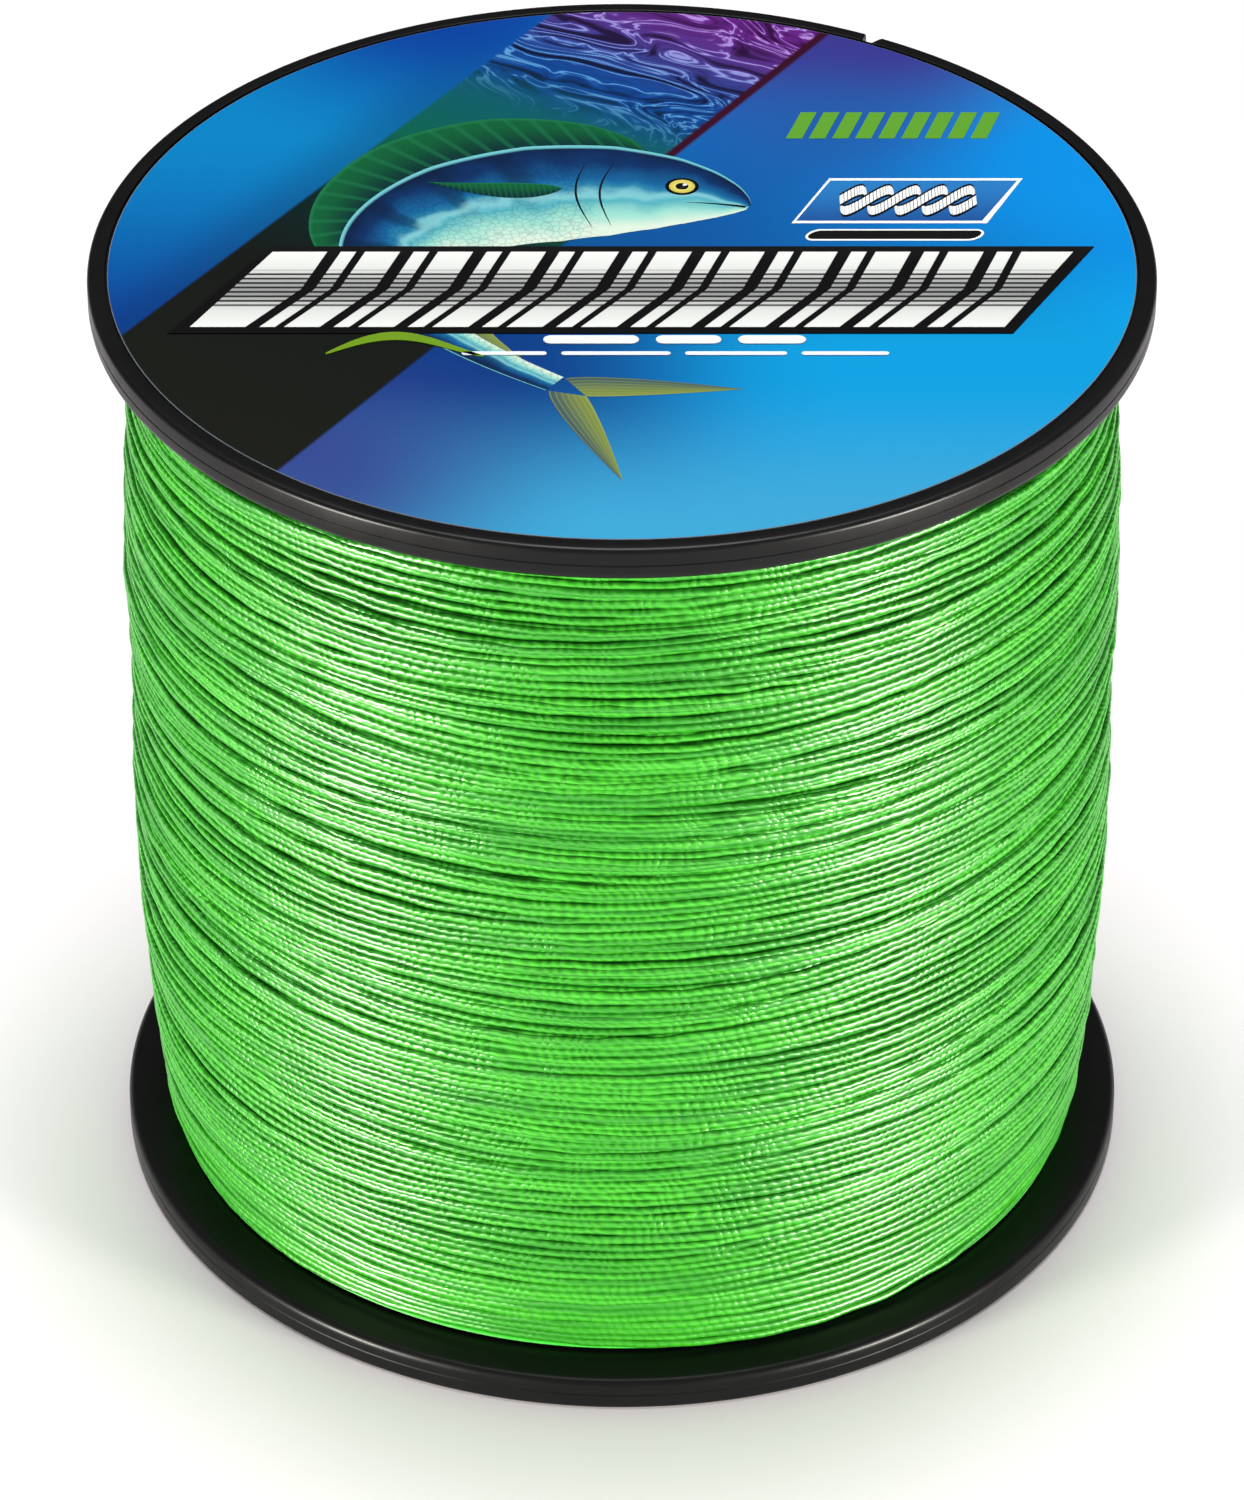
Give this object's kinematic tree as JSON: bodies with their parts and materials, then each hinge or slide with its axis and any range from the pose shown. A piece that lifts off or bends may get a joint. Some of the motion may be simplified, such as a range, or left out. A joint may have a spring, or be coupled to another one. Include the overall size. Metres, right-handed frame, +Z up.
{
  "type": "fishing line spool",
  "caption": "Bulk spool of green braided fishing line: two black beaded flanges on a barrel, a full winding, and a blue printed disc in the upper flange.",
  "frame": {"origin": "centre of the lower rim's flat face, where the spool stands", "axes": "+Z up along the spool's axis, from the lower flange to the labelled upper one; +Y away from a viewer who reads the label; the rim notch is 60 degrees from +X towards +Y"},
  "size_m": [0.09, 0.09, 0.0884],
  "materials": {
    "spool_plastic": "satin",
    "braided_line": "satin",
    "label_print": "gloss",
    "sticker_paper": "satin",
    "tape_film": "satin"
  },
  "bodies": {
    "root": {"upper_flange": "spool_plastic", "lower_flange": "spool_plastic", "barrel": "spool_plastic", "line_pack": "braided_line", "top_label": "label_print", "spec_sticker": "sticker_paper", "anchor_tape": "tape_film", "end_tape": "tape_film"}
  },
  "joints": []
}
